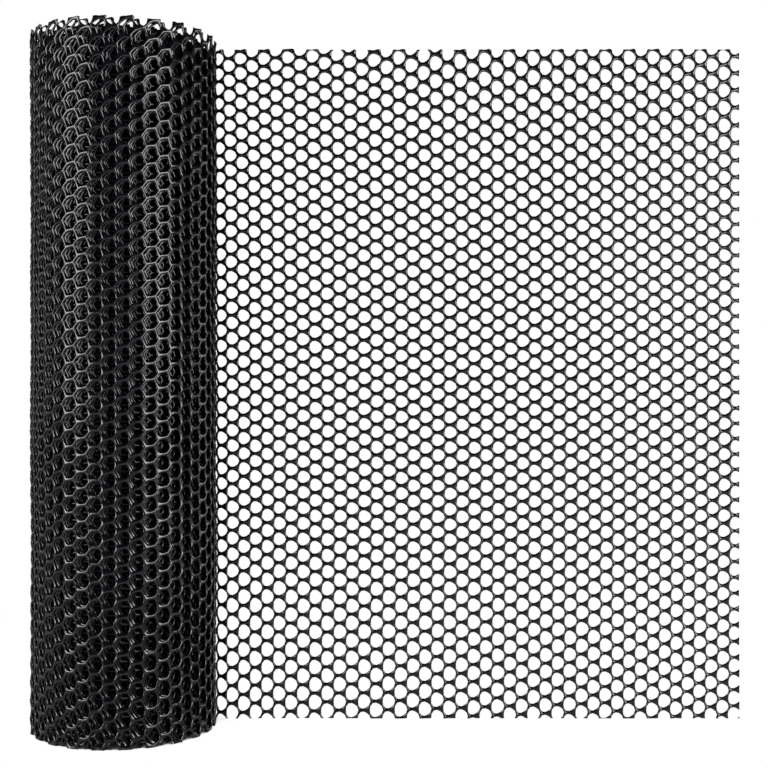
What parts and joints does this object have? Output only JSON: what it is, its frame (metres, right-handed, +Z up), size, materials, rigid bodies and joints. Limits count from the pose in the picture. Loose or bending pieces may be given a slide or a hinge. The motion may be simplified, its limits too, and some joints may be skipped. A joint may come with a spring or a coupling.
{
  "type": "bird netting roll",
  "caption": "Upright roll of black extruded plastic hexagonal-mesh netting, with its cut loose end standing open to the right.",
  "frame": {"origin": "middle of the base: the centre of the bounding box at the height of the surface the roll stands on", "axes": "+Z up along the roll's axis and across the net, +X the way the loose end runs, +Y to the back of the roll"},
  "size_m": [0.418, 0.108, 0.4],
  "materials": {
    "netting": "near-black extruded polyethylene, softly glossy"
  },
  "bodies": {
    "root": {"netting": "netting"}
  },
  "joints": []
}
